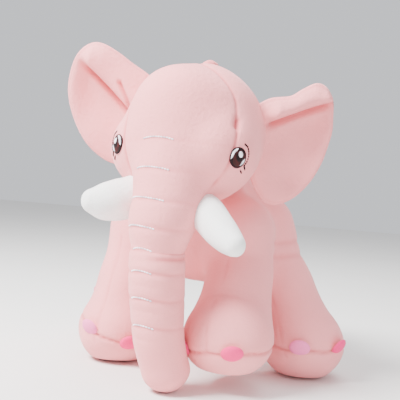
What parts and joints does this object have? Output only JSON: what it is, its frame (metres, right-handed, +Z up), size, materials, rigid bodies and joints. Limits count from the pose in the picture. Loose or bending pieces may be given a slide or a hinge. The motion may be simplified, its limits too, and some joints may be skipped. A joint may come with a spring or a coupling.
{
  "type": "stuffed toy elephant",
  "caption": "Standing stuffed elephant with a big head, hanging trunk, tusks, cupped ears, splayed padded legs and a small tail.",
  "frame": {"origin": "on the surface that the toy stands on, under the middle of its bounding box", "axes": "the elephant faces -Y, its left side is +X, and +Z is up"},
  "size_m": [0.2928, 0.2882, 0.3125],
  "materials": {
    "pink_plush": "short velvet pile, slightly sheened",
    "sole_plush": "short velvet pile",
    "white_plush": "short velvet pile, off white",
    "nail_felt": "pressed felt, hot pink",
    "filling": "loose polyester fibre",
    "dark_thread": "satin-stitched embroidery thread",
    "white_thread": "stitched embroidery thread"
  },
  "bodies": {
    "torso": {"torso_cover": "pink_plush", "torso_filling": "filling"},
    "head": {"head_cover": "pink_plush", "head_filling": "filling", "left_eye": "dark_thread", "left_lashes": "dark_thread", "right_eye": "dark_thread", "right_lashes": "dark_thread", "crown_seam": "pink_plush", "forehead_stitches": "white_thread"},
    "trunk_middle": {"trunk_middle_cover": "pink_plush", "trunk_middle_filling": "filling", "trunk_stitches": "white_thread"},
    "trunk_tip": {"trunk_tip_cover": "pink_plush", "trunk_tip_filling": "filling", "tip_stitches": "white_thread"},
    "tail": {"tail_cover": "pink_plush", "tail_filling": "filling", "tail_tuft": "pink_plush"},
    "front_left_leg": {"front_left_leg_cover": "pink_plush", "front_left_leg_filling": "filling", "front_left_sole": "sole_plush", "front_left_toenails": "nail_felt"},
    "front_right_leg": {"front_right_leg_cover": "pink_plush", "front_right_leg_filling": "filling", "front_right_sole": "sole_plush", "front_right_toenails": "nail_felt"},
    "hind_left_leg": {"hind_left_leg_cover": "pink_plush", "hind_left_leg_filling": "filling", "hind_left_sole": "sole_plush", "hind_left_toenails": "nail_felt"},
    "hind_right_leg": {"hind_right_leg_cover": "pink_plush", "hind_right_leg_filling": "filling", "hind_right_sole": "sole_plush", "hind_right_toenails": "nail_felt"},
    "left_ear": {"left_ear_front": "pink_plush", "left_ear_padding": "filling", "left_ear_back": "pink_plush"},
    "right_ear": {"right_ear_front": "pink_plush", "right_ear_padding": "filling", "right_ear_back": "pink_plush"},
    "left_tusk": {"left_tusk_cover": "white_plush", "left_tusk_filling": "filling"},
    "right_tusk": {"right_tusk_cover": "white_plush", "right_tusk_filling": "filling"}
  },
  "joints": [
    {"name": "head_nod", "type": "hinge", "parent": "torso", "child": "head", "pos_m": [0.01107, -0.0144, 0.186], "axis": [-1, 0, 0], "range_deg": [0, 12], "stiffness_Nm_per_rad": 6},
    {"name": "trunk_lift", "type": "hinge", "parent": "head", "child": "trunk_middle", "pos_m": [0.02207, -0.1184, 0.124], "axis": [-1, 0, 0], "range_deg": [-1, 25], "stiffness_Nm_per_rad": 0.6},
    {"name": "trunk_tip_curl", "type": "hinge", "parent": "trunk_middle", "child": "trunk_tip", "pos_m": [0.02257, -0.1144, 0.062], "axis": [-1, 0, 0], "range_deg": [-1, 30], "stiffness_Nm_per_rad": 0.3},
    {"name": "left_ear_flap", "type": "hinge", "parent": "head", "child": "left_ear", "pos_m": [0.07706, -0.03642, 0.22302], "axis": [-0.106, 0.0919, -0.9901], "range_deg": [-15, 15], "stiffness_Nm_per_rad": 0.15},
    {"name": "right_ear_flap", "type": "hinge", "parent": "head", "child": "right_ear", "pos_m": [-0.03991, -0.04041, 0.25198], "axis": [0.2633, -0.0863, 0.9609], "range_deg": [-15, 15], "stiffness_Nm_per_rad": 0.15},
    {"name": "left_tusk_flex", "type": "hinge", "parent": "head", "child": "left_tusk", "pos_m": [0.05507, -0.1004, 0.16], "axis": [0, 0, 1], "range_deg": [-8, 8], "stiffness_Nm_per_rad": 0.1},
    {"name": "right_tusk_flex", "type": "hinge", "parent": "head", "child": "right_tusk", "pos_m": [-0.01193, -0.1024, 0.165], "axis": [0, 0, -1], "range_deg": [-8, 8], "stiffness_Nm_per_rad": 0.1},
    {"name": "front_left_leg_swing", "type": "hinge", "parent": "torso", "child": "front_left_leg", "pos_m": [0.05807, -0.0184, 0.128], "axis": [-0.7071, -0.7071, 0], "range_deg": [-8, 12], "stiffness_Nm_per_rad": 6},
    {"name": "front_right_leg_swing", "type": "hinge", "parent": "torso", "child": "front_right_leg", "pos_m": [-0.05893, -0.0144, 0.128], "axis": [-0.7071, 0.7071, 0], "range_deg": [-8, 12], "stiffness_Nm_per_rad": 6},
    {"name": "hind_left_leg_swing", "type": "hinge", "parent": "torso", "child": "hind_left_leg", "pos_m": [0.06107, 0.0336, 0.132], "axis": [-1, 0, 0], "range_deg": [-12, 8], "stiffness_Nm_per_rad": 6},
    {"name": "hind_right_leg_swing", "type": "hinge", "parent": "torso", "child": "hind_right_leg", "pos_m": [-0.05593, 0.0496, 0.132], "axis": [-1, 0, 0], "range_deg": [-12, 8], "stiffness_Nm_per_rad": 6},
    {"name": "tail_swing", "type": "hinge", "parent": "torso", "child": "tail", "pos_m": [0.00307, 0.11784, 0.15855], "axis": [0, 1, 0], "range_deg": [-25, 25], "stiffness_Nm_per_rad": 0.02}
  ]
}
